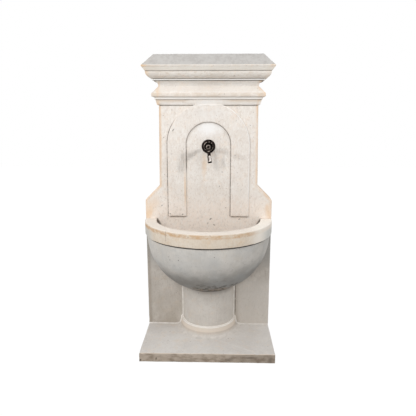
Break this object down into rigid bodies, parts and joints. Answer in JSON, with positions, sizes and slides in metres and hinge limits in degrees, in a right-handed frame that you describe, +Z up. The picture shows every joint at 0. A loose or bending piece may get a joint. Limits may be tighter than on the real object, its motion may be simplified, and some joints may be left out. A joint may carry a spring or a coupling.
{
  "type": "wall fountain",
  "caption": "Limestone wall fountain: moulded cornice over an arched back, a bronze spout that swivels, and a half-round basin with a lift-out overflow pipe on a pedestal.",
  "frame": {"origin": "on the ground, under the middle of the whole fountain's box", "axes": "+X along the wall to the viewer's right, +Y towards the wall behind the fountain, +Z up; the front faces -Y"},
  "size_m": [0.7, 0.46, 1.5555],
  "materials": {
    "warm_limestone": "dressed and weathered, matt",
    "grey_limestone": "dressed, water-worn and matt",
    "lime_mortar": "flush, matt and slightly sandy",
    "stainless_pin": "drawn bar",
    "dark_bronze": "dark patina, satin",
    "worn_bronze": "patina rubbed through, satin",
    "brass_fitting": "turned",
    "copper_pipe": "drawn copper tube",
    "rubber_seal": "matt",
    "grey_plastic": "moulded"
  },
  "bodies": {
    "fountain": {"upper_back_slab": "warm_limestone", "frieze_course": "warm_limestone", "cornice_cap": "warm_limestone", "basin_rim": "warm_limestone", "base_slab": "grey_limestone", "lower_back_slab": "grey_limestone", "basin_bowl": "grey_limestone", "pedestal": "grey_limestone", "base_bed": "lime_mortar", "slab_bed": "lime_mortar", "frieze_bed": "lime_mortar", "cap_bed": "lime_mortar", "pedestal_bed": "lime_mortar", "bowl_bed": "lime_mortar", "rim_bed": "lime_mortar", "pedestal_pointing": "lime_mortar", "basin_back_joint": "lime_mortar", "base_dowel_left": "stainless_pin", "base_dowel_right": "stainless_pin", "slab_dowel_left": "stainless_pin", "slab_dowel_right": "stainless_pin", "frieze_dowel_left": "stainless_pin", "frieze_dowel_right": "stainless_pin", "cap_dowel_left": "stainless_pin", "cap_dowel_right": "stainless_pin", "basin_anchor_left": "stainless_pin", "basin_anchor_right": "stainless_pin", "clip_screw_lower": "stainless_pin", "clip_screw_upper": "stainless_pin", "spout_rosette": "dark_bronze", "spout_screw": "dark_bronze", "wall_nipple": "brass_fitting", "nipple_backnut": "brass_fitting", "supply_elbow": "brass_fitting", "riser_union": "brass_fitting", "waste_flange": "brass_fitting", "waste_backnut": "brass_fitting", "supply_riser": "copper_pipe", "inlet_stub": "copper_pipe", "spout_o_ring_front": "rubber_seal", "spout_o_ring_rear": "rubber_seal", "nipple_washer": "rubber_seal", "waste_gasket": "rubber_seal", "waste_seal": "rubber_seal", "riser_clip_lower": "grey_plastic", "riser_clip_upper": "grey_plastic", "drain_pipe": "grey_plastic", "drain_coupling": "grey_plastic"},
    "spout": {"spout_knuckle": "dark_bronze", "spout_pipe": "dark_bronze", "spout_nozzle": "worn_bronze"},
    "standpipe": {"overflow_standpipe": "brass_fitting", "standpipe_seal": "rubber_seal"}
  },
  "joints": [
    {"name": "spout_turn", "type": "hinge", "parent": "fountain", "child": "spout", "pos_m": [0, 0.08, 1.085], "axis": [0, 1, 0], "range_deg": [-24, 36]},
    {"name": "standpipe_lift", "type": "slide", "parent": "fountain", "child": "standpipe", "axis": [0, 0, 1], "range_m": [0, 0.33]}
  ]
}
